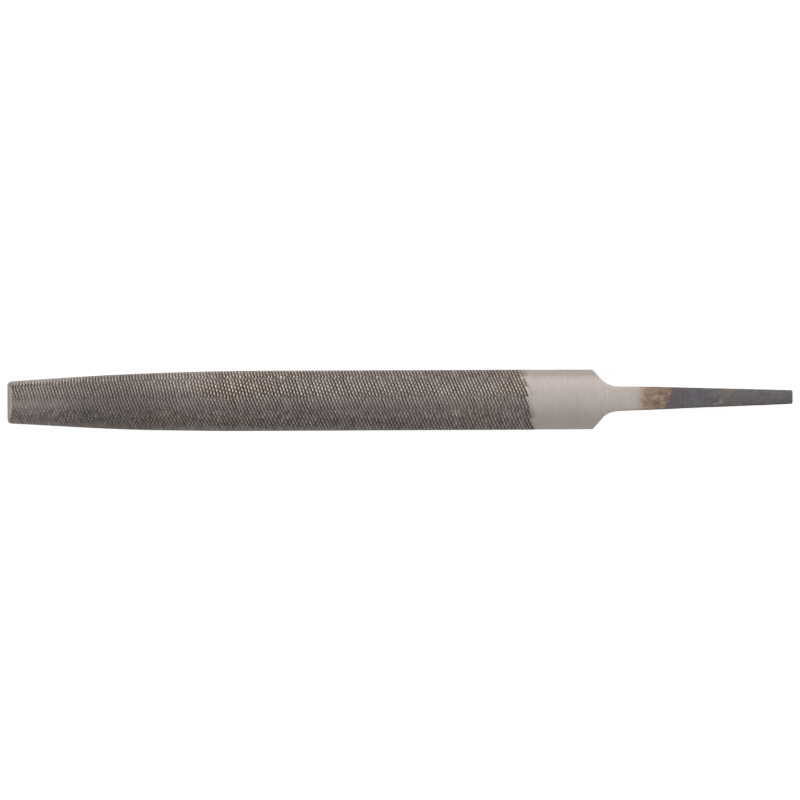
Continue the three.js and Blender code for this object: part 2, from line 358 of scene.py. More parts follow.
def cut_points(cut, half_of, up_at, over_at, margin, inside):
    """Grid points of one strip where its two families cross.

    Gives the arrays s, y, depth, groove share, brightness and share of cut, and
    the pairs of points to join, along each tooth's edge and each groove's bottom.
    """
    far = int(max(abs(cut.a0), 170)) + 20
    i, fa, j, fb = np.meshgrid(np.arange(-min(far, 290), 0), up_at, np.arange(-12, 145), over_at, indexing="ij")
    i, fa, j, fb = (v.ravel() for v in (i, fa, j, fb))
    s, y = cut.place(i, fa, j, fb)
    h = half_of(s)
    keep = (s > -0.5) & (s < 140) & (y > cut.lo * h + margin) & (y < cut.hi * h - margin) & inside(s, y)
    pairs = along_lines(keep, (fa == up_at[0]) | (fa == up_at[-1]), 157 * len(over_at), 0)
    i, fa, j, fb, s, y = (v[keep] for v in (i, fa, j, fb, s, y))
    depth, share, tint, one = finish(cut, s, y, i, fa, j, fb)
    # the last edge of the cut, where the heel begins
    j2, fb2 = (v.ravel() for v in np.meshgrid(np.arange(-12, 145), over_at, indexing="ij"))
    s2, y2 = cut.place(np.zeros_like(j2), 0.0, j2, fb2)
    h2 = half_of(s2)
    k = (y2 > cut.lo * h2 + margin) & (y2 < cut.hi * h2 - margin) & inside(s2, y2)
    n2 = int(k.sum())
    v2 = np.interp(fb2, OVER_AT, OVER_DEPTH)[k] * cut.run[0][1]
    pairs = np.concatenate([pairs, along_lines(k, np.ones(len(k), bool), len(k), len(s))])
    sets = [(s, y, depth, share, tint, one),
            (s2[k], y2[k], RELIEF * 0.9 + 0.08 * v2, 0.24 + 0.62 * v2, np.ones(n2), np.full(n2, 0.55))]
    # the overcut was made first and runs out a little way onto the heel
    for past, left in cut.run:
        s3, y3 = cut.place(np.zeros_like(j2), past, j2, fb2)
        run = 1 + 0.35 * (cut.rb[(j2 * 5) % 419] - 1)
        h3 = half_of(s3)
        k3 = (y3 > cut.lo * h3 + margin) & (y3 < cut.hi * h3 - margin) & inside(s3, y3) & (np.abs(y3) < h3 - 0.25)
        v = np.interp(fb2, OVER_AT, OVER_DEPTH)[k3] * left * run[k3]
        n3 = int(k3.sum())
        sets.append((s3[k3], y3[k3], RELIEF + 0.10 * v, 0.20 + 0.70 * v, np.ones(n3), np.full(n3, 0.60 * left)))
    return tuple(np.concatenate([q[m] for q in sets]) for m in range(6)) + (pairs,)


def end_line(cuts, y):
    """s of the last edge of the cut at y, near the heel."""
    y = np.asarray(y, float)
    out = np.full(y.shape, 133.2)
    for c in cuts:
        k = (y >= c.lo * 7.75) & (y < c.hi * 7.75)
        ay, middle, extra = c.turn(133.0)
        out = np.where(k, unwarp(-(ay * (c.round_u(133.0, y) - middle) + extra + c.a0) / c.a[0]), out)
    return out


# ---------------------------------------------------------------------------
# The outline in plan, anticlockwise from above: along the -Y edge to the tang,
# round its end and back along the +Y edge to the tip. Each entry holds s, y
# (from the blade's middle up to the shoulder), and the tooth depth there.
# ---------------------------------------------------------------------------
def heel_half(s):
    return np.interp(s, [0, 131.0, 134.2, 150.0], [1e3, 7.75, 7.69, 7.64])


def half(s):
    return np.minimum(width(s) / 2, heel_half(s))


def edge_samples(cut, sign):
    """Edge points of the cut blade on one side, one for each sample of the upcut's profile."""
    ss = np.linspace(0.0, 140, 6000)
    a, _ = cut.phase(ss, sign * width(ss) / 2)
    rows = []
    for i in range(-290, 0):
        for fa in UP_AT[:-1]:
            at = i + fa + cut.ja[i + 300] * (1 - fa) + cut.ja[i + 301] * fa
            if at < a[0] or at > a[-1]:
                continue
            s = float(np.interp(at, a, ss))
            if s < TIP_CORNER + 0.12:
                continue
            _, b = cut.phase(s, sign * float(width(s)) / 2)
            j = int(math.floor(b))
            fb = b - j
            rb = cut.rb[j + 200] if fb < 0.5 else cut.rb[j + 201]
            d, g = tooth_depth(fa, fb, cut.ra[i + 300], rb)
            fade = float(edge_fade(s, sign, 0.0)) * float(tip_wear(s)) * (cut.last[2] if i == -1 else 1.0)
            g = float(ease(g * cut.wide, fade, 0.27 if sign > 0 else 0.44))
            rows.append((s, sign * float(width(s)) / 2, float(d) * fade, g, 1.0))
    last = float(np.interp(0.0, a, ss))
    rows.append((last, sign * float(half(last)), RELIEF * 0.7, 0.1, 0.35))
    return rows, last


def through(points, step):
    """Points about step apart along a smooth curve through a list of (s, y), straight over its first length."""
    pts = [np.array(p, float) for p in points]
    out = []
    for k in range(len(pts) - 1):
        p1, p2 = pts[k], pts[k + 1]
        n = max(1, int(round(np.linalg.norm(p2 - p1) / step)))
        p0 = pts[k - 1] if k > 1 else 2 * p1 - p2 if k == 0 else p1 * 2 - p2
        p3 = pts[k + 2] if k + 2 < len(pts) else 2 * p2 - p1
        for m in range(n):
            t = m / n
            if k == 0:
                out.append(p1 + (p2 - p1) * t)
                continue
            out.append(0.5 * (2 * p1 + (p2 - p0) * t + (2 * p0 - 5 * p1 + 4 * p2 - p3) * t * t + (3 * p1 - p0 - 3 * p2 + p3) * t ** 3))
    out.append(pts[-1])
    return out


def side(sign):
    """One long edge from the tip to the end of the tang as rows (s, y, depth, groove, cut)."""
    rows = []
    for k in range(9):
        th = k * math.pi / 16
        s = TIP_CORNER * (1 - math.cos(th))
        rows.append((s, sign * (float(width(s)) / 2 - TIP_CORNER * (1 - math.sin(th))), 0.0, 0.0, 0.0))
    cut, last = edge_samples(ROUND_CUTS[0] if sign > 0 else ROUND_CUTS[-1], sign)
    rows += cut
    for s in np.arange(last + 0.5, BLADE - 0.4, 0.7):
        rows.append((s, sign * float(half(s)), RELIEF, 0.0, 0.0))
    if sign > 0:
        tang = SHOULDER_PLUS + [[a, b] for a, b, _ in TANG_EDGES]
        end = TANG_END[0]
    else:
        tang = [[a, -b] for a, b in SHOULDER_MINUS] + [[a, c] for a, _, c in TANG_EDGES]
        end = TANG_END[1]
    tang += [[TOTAL - TANG_END[2], end]]
    for s, y in through(tang, 0.55):
        # a forged edge is never quite straight
        wob = 0.008 * math.sin(s * 1.1 + sign) + 0.005 * math.sin(s * 3.1 + 2 * sign) if s > 157 else 0.0
        rows.append((float(s), float(y) + wob, RELIEF, 0.0, 0.0))
    rows.append((TOTAL, end - sign * TANG_END[2], RELIEF, 0.0, 0.0))
    return rows


minus, plus = side(-1), side(1)
end_face = [(TOTAL, y, RELIEF, 0.0, 0.0) for y in np.linspace(minus[-1][1], plus[-1][1], 7)[1:-1]]
tip_y = plus[0][1]
tip_face = [(0.0, y, 0.0, 0.0, 0.0) for y in np.linspace(tip_y, -tip_y, 14)[1:-1]]
loop = np.array(minus + end_face + plus[::-1] + tip_face, float)


# ---------------------------------------------------------------------------
# Surfaces over the plan
# ---------------------------------------------------------------------------
def tip_plane(s):
    return 0.10 + s * (TIP_THICKNESS - 0.10) / 1.13


def off_line(s):
    """How far the blade's middle is off the axis, faded out at the shoulder."""
    return np.where(s < 60, centre(s), 0.0)


def heel_facets(s, y):
    """Height taken off the arc by the two long flats that the grinding left beside the heel's edges."""
    out = np.zeros(np.shape(y))
    for y0, y1 in ((6.0, 7.69), (-7.1, -7.69)):
        za, zb = arc(150.0, y0)[0], arc(150.0, y1)[0]
        k = (y - y0) / (y1 - y0)
        chord = za + (zb - za) * k
        out = np.where((k > 0) & (k <= 1.02), np.maximum(arc(150.0, y)[0] - chord, 0), out)
    return out * smooth(133.0, 134.5, s) * (1 - smooth(150, 153, s))


def top_point(s, y, depth, sideways):
    """The round side in 3-D: the arc, sunk along its own normal by depth, run into the tang's flatter top.

    sideways is the share of the normal's sideways part that is followed: less at the blade's edges, which the grooves only nick.
    """
    z, ny, nz = arc(np.minimum(s, 150), y)
    w = smooth(150, 166, s)
    zz = (1 - w) * z + w * tang_top(s, y) - heel_facets(s, y)
    tooth = np.where(s < 140, depth, 0.0)
    yy = y - tooth * ny * sideways
    zz = zz - np.where(s < 140, depth * nz, RELIEF * (1 - w))
    zz = np.minimum(zz, tip_plane(s))
    return yy + off_line(s), zz


def seg_distance(px, py, poly):
    """Distance from points to a closed polyline."""
    best = np.full(px.shape, 1e9)
    q = np.roll(poly, -1, axis=0)
    for (ax, ay), (bx, by) in zip(poly, q):
        dx, dy = bx - ax, by - ay
        t = np.clip(((px - ax) * dx + (py - ay) * dy) / (dx * dx + dy * dy + 1e-12), 0, 1)
        best = np.minimum(best, np.hypot(px - ax - t * dx, py - ay - t * dy))
    return best


def inside_poly(px, py, poly):
    inside = np.zeros(px.shape, bool)
    q = np.roll(poly, -1, axis=0)
    for (ax, ay), (bx, by) in zip(poly, q):
        hit = (ay > py) != (by > py)
        if by != ay:
            inside ^= hit & (px < (bx - ax) * (py - ay) / (by - ay) + ax)
    return inside


def blade_inside(gap):
    """A test for points on the blade at least gap inside its edges and tip corners, and clear of the tip's end face."""
    def test(s, y):
        h = width(s) / 2
        ok = (np.abs(y) < h - gap) & (s > tip_line(y) + 0.11)
        corner = (s < TIP_CORNER) & (np.abs(y) > h - TIP_CORNER)
        far = (s - TIP_CORNER) ** 2 + (np.abs(y) - (h - TIP_CORNER)) ** 2 > (TIP_CORNER - gap - 0.03) ** 2
        return ok & ~(corner & far)
    return test


_ty = np.linspace(-5.6, 5.6, 113)
_ts = []
for _y in _ty:
    grid = np.linspace(0, 1.4, 400)
    zz = arc(grid, np.full(400, _y))[0] - tip_plane(grid)
    _ts.append(float(grid[np.argmax(zz < 0)]) if (zz < 0).any() else 1.4)
_ts = np.array(_ts)


def tip_line(y):
    return np.interp(np.abs(y), _ty[56:], _ts[56:])


def heel_and_tang(cuts, gap):
    """Plain points behind the cut: a grid over the heel, then the shoulder and tang, clear of the outline."""
    out = []
    for s in np.arange(131.5, 150.01, 0.75):
        a = np.linspace(-1, 1, 27)[1:-1]
        a = 7.66 * np.sin(a * math.pi / 3) / math.sin(math.pi / 3)
        a[np.argmin(np.abs(a - 6.0))] = 6.0
        a[np.argmin(np.abs(a + 7.1))] = -7.1
        out.append(np.stack([np.full(a.shape, s), a], 1))
    heel = np.concatenate(out)
    heel = heel[heel[:, 0] > end_line(cuts, heel[:, 1]) + 2.6]
    out = [heel]
    poly = loop[:, :2]
    tail = []
    for s in np.arange(150.6, TOTAL - 0.3, 0.7):
        for y in np.linspace(-7.2, 7.2, 25) if s < 156 else np.linspace(-2.6, 2.8, 10):
            tail.append((s, y))
    tail = np.array(tail)
    ring = poly[(poly[:, 0] > 149.0)]
    rect = np.vstack([[148.5, -7.64], ring[ring[:, 1] < -1e9], ring, [148.5, 7.64]]) if len(ring) else poly
    keep = inside_poly(tail[:, 0], tail[:, 1], rect) & (seg_distance(tail[:, 0], tail[:, 1], rect) > gap)
    out.append(tail[keep])
    return np.concatenate(out)


def inset(dist, s_from):
    """Points at dist inside the outline, behind s_from."""
    p = loop[:, :2]
    nxt, prv = np.roll(p, -1, axis=0), np.roll(p, 1, axis=0)
    t = nxt - prv
    t /= np.linalg.norm(t, axis=1)[:, None] + 1e-12
    n = np.stack([-t[:, 1], t[:, 0]], 1)
    q = p + n * dist
    return q[(p[:, 0] > s_from) & (q[:, 0] < TOTAL)]


# ---------------------------------------------------------------------------
# Triangulate each face over the plan, lift it, and join the two by the edge
# ---------------------------------------------------------------------------
def triangulate(points, n_loop, lines):
    """Triangles over the loop's inside. The first n_loop points are the loop, in order. lines are pairs kept as edges."""
    edges = [(k, (k + 1) % n_loop) for k in range(n_loop)] + [tuple(e) for e in lines]
    verts, _, faces, orig, _, _ = delaunay_2d_cdt([Vector((float(a), float(b))) for a, b in points], edges, [], 1, 1e-6)
    back = np.full(len(verts), -1)
    for k, o in enumerate(orig):
        if o:
            back[k] = min(o)
    tri = np.array([f[:] for f in faces])
    tri = back[tri]
    if (tri < 0).any():
        raise ValueError("two kept edges cross: %d faces" % int((tri < 0).any(axis=1).sum()))
    p = points[tri]
    area = (p[:, 1, 0] - p[:, 0, 0]) * (p[:, 2, 1] - p[:, 0, 1]) - (p[:, 2, 0] - p[:, 0, 0]) * (p[:, 1, 1] - p[:, 0, 1])
    tri[area < 0] = tri[area < 0][:, ::-1]
    return tri


n_loop = len(loop)
gap = 0.13

# round side
layers = []
for c in ROUND_CUTS:
    layers.append(cut_points(c, lambda s: width(s) / 2, UP_AT[:-1], OVER_AT[:-1], 0.085, blade_inside(gap)))
lines = []
for n, l in enumerate(layers):
    lines += (l[6] + n_loop + sum(len(m[0]) for m in layers[:n])).tolist()
for c, d in zip(ROUND_CUTS, ROUND_CUTS[1:]):
    layers.append(seam(c, d, 0.20))
teeth = [np.concatenate([l[k] for l in layers]) for k in range(6)]
ts, ty, td, tg, tt, tc = teeth
cres_y = np.linspace(-1, 1, 41)
cres = []
for f in cres_y:
    y = f * 4.95
    cres.append((float(tip_line(np.array([y]))[0]), y))
cres = np.array(cres)
cres = cres[blade_inside(0.06)(cres[:, 0] + 0.12, cres[:, 1])]
face = np.array([(s, y) for s in (0.25, 0.5, 0.75) for y in np.linspace(-4.6, 4.6, 20)])
face = face[(face[:, 0] < tip_line(face[:, 1]) - 0.12) & (np.abs(face[:, 1]) < 4.3 + face[:, 0])]
back = heel_and_tang(ROUND_CUTS, 0.42)
rim = np.concatenate([inset(0.10, 150.3), inset(0.26, 150.3)])

top_xy = np.concatenate([loop[:, :2], np.stack([ts, ty], 1), cres, face, back, rim])
n_t, n_c = len(ts), len(cres)
depth = np.concatenate([loop[:, 2], td, np.zeros(len(cres) + len(face)), np.full(len(back) + len(rim), RELIEF)])
groove = np.concatenate([loop[:, 3], tg, np.zeros(len(top_xy) - n_loop - n_t)])
cutmask = np.concatenate([loop[:, 4], tc, np.zeros(len(top_xy) - n_loop - n_t)])
loop_tint = np.where(loop[:, 0] < 134, np.where(loop[:, 1] > 0, ROUND_CUTS[0].clean, ROUND_CUTS[-1].clean) * painted_shading_and_tone(loop[:, 0], loop[:, 1]), 1.0)
tint = np.concatenate([loop_tint, tt, np.ones(len(top_xy) - n_loop - n_t)])
# the teeth run out through the end face's edge, so it is notched by the grooves
for k in range(n_c):
    m = n_loop + n_t + k
    s, y = top_xy[m]
    for c in ROUND_CUTS:
        if c.lo * width(s) / 2 <= y < c.hi * width(s) / 2:
            a, b = c.phase(s, y)
            d, g = tooth_depth(a - math.floor(a), b - math.floor(b), 1.0, 1.0)
            depth[m], groove[m] = 0.5 * float(d) * float(edge_fade(s, y, width(s) / 2 - abs(y))), 0.4 * float(g)
lines += [(n_loop + n_t + k, n_loop + n_t + k + 1) for k in range(n_c - 1)]
top_tri = triangulate(top_xy, n_loop, lines)
y3, z3 = top_point(top_xy[:, 0], top_xy[:, 1], depth, np.where(np.arange(len(top_xy)) < n_loop, 0.35, 0.9))
# broken edges along the tang and the shoulder
edge_drop = np.zeros(len(top_xy))
edge_drop[:n_loop] = 0.17 * smooth(150.0, 153.0, loop[:, 0])
n_in = len(rim) // 2
edge_drop[len(top_xy) - len(rim):len(top_xy) - n_in] = 0.05
z3 = z3 - edge_drop
rim_top = np.zeros(len(top_xy))
rim_top[:n_loop] = smooth(156.0, 162.0, loop[:, 0])
rim_top[len(top_xy) - len(rim):len(top_xy) - n_in] = 0.6 * smooth(156.0, 162.0, rim[:n_in, 0])
top3 = np.stack([top_xy[:, 0], y3, z3], 1)

# flat side
FLAT_UP = np.array([0.0, 0.30, 0.58, 0.81])
flat_h = lambda s: np.minimum(width(s) / 2, 7.75)
flat = cut_points(FLAT_CUTS[0], flat_h, FLAT_UP, OVER_AT[:-1], 0.30,
                  lambda s, y: (s > 0.4) & (np.abs(y) < width(s) / 2 - 0.32)
                  & ~((s < TIP_CORNER) & (np.abs(y) > width(s) / 2 - TIP_CORNER - 0.2)))
fs, fy, fd, fg, ft, fc, flat_lines = flat
low_back = heel_and_tang(FLAT_CUTS, 0.42)
low_rim = np.concatenate([inset(0.10, 150.3), inset(0.26, 150.3)])
bot_xy = np.concatenate([loop[:, :2], np.stack([fs, fy], 1), low_back, low_rim])
n_f = len(fs)
bot_tri = triangulate(bot_xy, n_loop, (flat_lines + n_loop).tolist())
fade = smooth(0.15, 0.9, width(fs) / 2 - np.abs(fy))
bz = np.zeros(len(bot_xy))
bz[n_loop:n_loop + n_f] = fd * (0.35 + 0.65 * fade)
bz[n_loop + n_f:] = 0.05
b = FLAT_CUTS[0]
for k in range(n_loop):
    s, y = loop[k, :2]
    a_, b_ = b.phase(s, y)
    if a_ < 0 and s > 0.3:
        d, _ = tooth_depth(a_ - math.floor(a_), b_ - math.floor(b_), 1.0, 1.0)
        bz[k] = 0.28 * float(d)
    else:
        bz[k] = 0.05
bz = bz + bottom_base(bot_xy[:, 0])
bz[:n_loop] += 0.15 * smooth(150.0, 153.0, loop[:, 0])
bz[len(bot_xy) - len(low_rim):len(bot_xy) - len(low_rim) // 2] += 0.05
by3 = bot_xy[:, 1] + off_line(bot_xy[:, 0])
by3[:n_loop] = y3[:n_loop]
bot3 = np.stack([bot_xy[:, 0], by3, bz], 1)
bot_groove = np.concatenate([np.zeros(n_loop), fg, np.zeros(len(bot_xy) - n_loop - n_f)])
bot_cut = np.concatenate([loop[:, 4], fc, np.zeros(len(bot_xy) - n_loop - n_f)])
bot_tint = np.concatenate([np.ones(n_loop), ft, np.ones(len(bot_xy) - n_loop - n_f)])

rim_bot = np.zeros(len(bot_xy))
rim_bot[:n_loop] = smooth(156.0, 162.0, loop[:, 0])

off = len(top3)
k = np.arange(n_loop)
kn = (k + 1) % n_loop
walls = np.concatenate([np.stack([off + k, off + kn, kn], 1), np.stack([off + k, kn, k], 1)])
verts = np.concatenate([top3, bot3])
tris = np.concatenate([top_tri, off + bot_tri[:, ::-1], walls])
print("file: %d vertices, %d triangles (round %d, flat %d)" % (len(verts), len(tris), len(top_tri), len(bot_tri)))
print("land min %.3f mm" % float((top3[:n_loop, 2] - bot3[:n_loop, 2]).min()))

verts[:, 0] -= TOTAL / 2
mesh = bpy.data.meshes.new("file_steel")
mesh.from_pydata((verts * 0.001).tolist(), [], tris.tolist())
for name, values in (("groove", np.concatenate([groove, bot_groove])), ("cut", np.concatenate([cutmask, bot_cut])),
                     ("tint", np.concatenate([tint, bot_tint])), ("rim", np.concatenate([rim_top, rim_bot]))):
    layer = mesh.attributes.new(name, "FLOAT", "POINT")
    layer.data.foreach_set("value", np.asarray(values, np.float32))
mesh.polygons.foreach_set("use_smooth", np.ones(len(mesh.polygons), bool))
mesh.update()
mesh.set_sharp_from_angle(angle=math.radians(34))

# ---------------------------------------------------------------------------
# A plain flattened map of the surface, so the finish can be baked: the length
# is folded into three rows on each side, and the edges get a row of their own.
# ---------------------------------------------------------------------------
FOLDS = 3
ROW = TOTAL / FOLDS
uv = mesh.uv_layers.new(name="OFBake")
centres = verts[tris].mean(axis=1)
fold = np.clip(((centres[:, 0] + TOTAL / 2) / ROW).astype(int), 0, FOLDS - 1)
is_top = np.zeros(len(tris), bool)
is_top[:len(top_tri)] = True
is_wall = np.zeros(len(tris), bool)
is_wall[len(top_tri) + len(bot_tri):] = True
corner = verts[tris]
u = (corner[:, :, 0] + TOTAL / 2 - fold[:, None] * ROW + 1.2) / (ROW + 2.4)
span = 20.0
v_top = (fold[:, None] * span + corner[:, :, 1] * 1.18 + span / 2)
v_bot = ((FOLDS + fold[:, None]) * span + corner[:, :, 1] * 1.18 + span / 2)
wall_side = centres[:, 1] > 0
v_wall = (2 * FOLDS * span + fold[:, None] * 8.0 + np.where(wall_side, 4.2, 0.2)[:, None] + np.clip(corner[:, :, 2], 0, 3.6))
v = np.where(is_wall[:, None], v_wall, np.where(is_top[:, None], v_top, v_bot)) / (2 * FOLDS * span + FOLDS * 8.0)
uv.data.foreach_set("uv", np.stack([u, v], 2).astype(np.float32).ravel())

body = bpy.data.objects.new("file_steel", mesh)
bpy.context.scene.collection.objects.link(body)


# ---------------------------------------------------------------------------
# Finish
# ---------------------------------------------------------------------------
mat = bpy.data.materials.new("file_steel_finish")
mat.use_nodes = True
nt = mat.node_tree
nt.nodes.clear()


def node(kind, **inputs):
    n = nt.nodes.new(kind)
    for key, value in inputs.items():
        n.inputs[key].default_value = value
    return n


def link(a, b):
    nt.links.new(a, b)


def math_node(op, a, b=None, c=None, clamp=False):
    n = nt.nodes.new("ShaderNodeMath")
    n.operation = op
    n.use_clamp = clamp
    for k, x in enumerate((a, b, c)):
        if x is None:
            continue
        if isinstance(x, (int, float)):
            n.inputs[k].default_value = x
        else:
            link(x, n.inputs[k])
    return n.outputs[0]


def remap(x, lo, hi, a=0.0, b=1.0, smoothstep=True):
    n = nt.nodes.new("ShaderNodeMapRange")
    n.interpolation_type = "SMOOTHSTEP" if smoothstep else "LINEAR"
    link(x, n.inputs["Value"])
    n.inputs["From Min"].default_value = lo
    n.inputs["From Max"].default_value = hi
    n.inputs["To Min"].default_value = a
    n.inputs["To Max"].default_value = b
    return n.outputs["Result"]


def noise(vector, scale, detail=2.0, rough=0.5, distortion=0.0):
    n = nt.nodes.new("ShaderNodeTexNoise")
    n.inputs["Scale"].default_value = scale
    n.inputs["Detail"].default_value = detail
    n.inputs["Roughness"].default_value = rough
    n.inputs["Distortion"].default_value = distortion
    link(vector, n.inputs["Vector"])
    return n.outputs["Fac"]


def stretch(vector, x, y, z):
    n = nt.nodes.new("ShaderNodeMapping")
    n.inputs["Scale"].default_value = (x, y, z)
    link(vector, n.inputs["Vector"])
    return n.outputs["Vector"]


def mix(fac, a, b, blend="MIX"):
    n = nt.nodes.new("ShaderNodeMix")
    n.data_type = "RGBA"
    n.blend_type = blend
    for sock, x in ((n.inputs[0], fac), (n.inputs[6], a), (n.inputs[7], b)):
        if isinstance(x, (int, float)):
            sock.default_value = x
        elif isinstance(x, tuple):
            sock.default_value = (*x, 1.0)
        else:
            link(x, sock)
    return n.outputs[2]


def ramp(x, stops, interpolation="LINEAR"):
    n = nt.nodes.new("ShaderNodeValToRGB")
    n.color_ramp.interpolation = interpolation
    el = n.color_ramp.elements
    while len(el) > 1:
        el.remove(el[-1])
    el[0].position, el[0].color = stops[0][0], (*stops[0][1], 1)
    for pos, col in stops[1:]:
        e = el.new(pos)
        e.color = (*col, 1)
    link(x, n.inputs["Fac"])
    return n.outputs["Color"]


def attribute(name):
    n = nt.nodes.new("ShaderNodeAttribute")
    n.attribute_name = name
    return n.outputs["Fac"]


def srgb(r, g, b):
    return tuple(((c / 255) / 12.92 if c <= 10 else ((c / 255 + 0.055) / 1.055) ** 2.4) for c in (r, g, b))


coord = nt.nodes.new("ShaderNodeTexCoord").outputs["Object"]
sep = nt.nodes.new("ShaderNodeSeparateXYZ")
link(coord, sep.inputs[0])
X, Y, Z = sep.outputs
a_groove, a_cut, a_tint = attribute("groove"), attribute("cut"), attribute("tint")

# across-the-width grinding lines on the heel, and a coarser along-the-length drift
fine = noise(stretch(coord, 4600, 620, 620), 1.0, 3.0, 0.6)
medium = noise(stretch(coord, 1500, 150, 150), 1.0, 2.0, 0.5)
grain = noise(stretch(coord, 2300, 1300, 1300), 1.0, 2.0, 0.55)
cloud = noise(coord, 170, 3.0, 0.55)
speck = noise(coord, 2600, 2.0, 0.5)

HEEL = (0.522, 0.465, 0.427)
CREST = (0.588, 0.514, 0.480)
GROOVE = (0.117, 0.095, 0.088)

lines = math_node("ADD", math_node("MULTIPLY", math_node("SUBTRACT", fine, 0.5), 0.24),
                  math_node("ADD", math_node("MULTIPLY", math_node("SUBTRACT", medium, 0.5), 0.12),
                            math_node("MULTIPLY", math_node("SUBTRACT", grain, 0.5), 0.27)))
tone = math_node("ADD", math_node("ADD", lines, 1.0), math_node("MULTIPLY", math_node("SUBTRACT", cloud, 0.5), 0.14))
tone_rgb = nt.nodes.new("ShaderNodeCombineColor")
for k in range(3):
    link(tone, tone_rgb.inputs[k])

# the tang: bare ground steel, then the temper colours left by heat from the
# hardening bath's edge, then the dull blue-grey scale of the softened end.
# The bands lean a little and their borders wander.
s_mm = math_node("MULTIPLY", math_node("ADD", X, TOTAL / 2000), 1000)
y_mm = math_node("MULTIPLY", Y, 1000)
z_mm = math_node("MULTIPLY", Z, 1000)
wander = noise(coord, 420, 3.0, 0.6)
wander2 = noise(coord, 1900, 3.0, 0.65)
lean = math_node("MULTIPLY", y_mm, remap(s_mm, 164, 169, -0.02, -0.27))
band_at = math_node("ADD", math_node("ADD", s_mm, lean),
                    math_node("ADD", math_node("MULTIPLY", math_node("SUBTRACT", wander, 0.5), 2.4),
                              math_node("MULTIPLY", math_node("SUBTRACT", wander2, 0.5), 2.6)))
t_band = remap(band_at, 158.0, 203.0, smoothstep=False)


def at_mm(s):
    return (s - 158.0) / 45.0


tang = ramp(t_band, [
    (at_mm(158.0), HEEL), (at_mm(161.2), (0.500, 0.446, 0.400)), (at_mm(162.4), (0.415, 0.342, 0.284)),
    (at_mm(163.3), (0.315, 0.235, 0.180)), (at_mm(166.0), (0.292, 0.212, 0.160)), (at_mm(168.2), (0.262, 0.180, 0.130)),
    (at_mm(169.0), (0.222, 0.148, 0.112)), (at_mm(169.8), (0.170, 0.126, 0.124)), (at_mm(171.0), (0.146, 0.127, 0.134)),
    (at_mm(174.5), (0.150, 0.139, 0.154)),
    (at_mm(179.5), (0.154, 0.145, 0.156)), (at_mm(182.5), (0.170, 0.156, 0.150)), (at_mm(187.0), (0.158, 0.147, 0.143)),
    (at_mm(202.0), (0.154, 0.143, 0.139))])
# the straw band is mottled: thin light patches and darker rings
swirl = noise(stretch(coord, 1.0, 1.25, 1.0), 560, 3.0, 0.60, 0.9)
in_band = math_node("MULTIPLY", remap(band_at, 161.6, 163.0), remap(band_at, 170.0, 168.6))
tang = mix(math_node("MULTIPLY", math_node("MULTIPLY", remap(swirl, 0.50, 0.66), in_band), 0.72), tang, (0.430, 0.340, 0.262))
tang = mix(math_node("MULTIPLY", math_node("MULTIPLY", remap(swirl, 0.47, 0.36), in_band), 0.68), tang, (0.195, 0.130, 0.092))
# a faint straw patch further down, and a small scuff beside it
patch = math_node("MULTIPLY", math_node("MULTIPLY", remap(s_mm, 181.6, 183.6), remap(s_mm, 187.4, 185.0)),
                  math_node("MULTIPLY", remap(y_mm, -0.9, 0.9), remap(noise(coord, 800, 3.0, 0.6, 0.8), 0.40, 0.62)))
tang = mix(math_node("MULTIPLY", patch, 0.42), tang, (0.255, 0.205, 0.158))


def scuff(s0, y0, ds, dy, half_len, half_wide):
    """1 on a short straight mark through (s0, y0) along (ds, dy), 0 off it."""
    n = math.hypot(ds, dy)
    ds, dy = ds / n, dy / n
    a, b = math_node("SUBTRACT", s_mm, s0), math_node("SUBTRACT", y_mm, y0)
    along = math_node("ABSOLUTE", math_node("ADD", math_node("MULTIPLY", a, ds), math_node("MULTIPLY", b, dy)))
    across = math_node("ABSOLUTE", math_node("SUBTRACT", math_node("MULTIPLY", a, dy), math_node("MULTIPLY", b, ds)))
    return math_node("MULTIPLY", remap(along, half_len, half_len * 0.6), remap(across, half_wide, half_wide * 0.35))


on_top = remap(z_mm, 2.2, 2.5)
marks = math_node("ADD", math_node("MULTIPLY", scuff(182.75, -0.62, 0.62, 0.78, 0.62, 0.22), 0.50),
                  math_node("MULTIPLY", scuff(182.05, -1.12, 1.0, 0.16, 1.60, 0.26), 0.30), clamp=True)
tang = mix(math_node("MULTIPLY", marks, on_top), tang, (0.42, 0.38, 0.34))
# fine mottling of the scale
scale_zone = remap(band_at, 168.5, 171.0)
mottle = math_node("ADD", math_node("MULTIPLY", math_node("SUBTRACT", noise(coord, 1300, 4.0, 0.65), 0.5), 0.78),
                   math_node("ADD", math_node("MULTIPLY", math_node("SUBTRACT", noise(coord, 380, 3.0, 0.6, 1.2), 0.5), 0.58), 1.0))
mottle_rgb = nt.nodes.new("ShaderNodeCombineColor")
for k in range(3):
    link(mottle, mottle_rgb.inputs[k])
tang = mix(scale_zone, tang, mix(1.0, tang, mottle_rgb.outputs[0], "MULTIPLY"))

plain = mix(1.0, tang, tone_rgb.outputs[0], "MULTIPLY")
# darker along the tang's corners: partly scale left there, partly painted shade that damps the highlight on the rounded
# edges
plain = mix(math_node("MULTIPLY", attribute("rim"), 0.72), plain, (0.075, 0.060, 0.052))

# the cut: bright edges and dark grooves, partly worn steel and the scale and oil the grooves hold, partly painted light
# on the crests and painted shade in the hollows between teeth; and a slightly different tone from tooth to tooth
groove_soft = remap(a_groove, 0.02, 0.95, smoothstep=False)
tooth = ramp(groove_soft, [(0.0, CREST), (0.22, (0.400, 0.353, 0.329)), (0.55, (0.210, 0.181, 0.168)), (1.0, GROOVE)])
# patches where the cut holds a warmer film of old oil


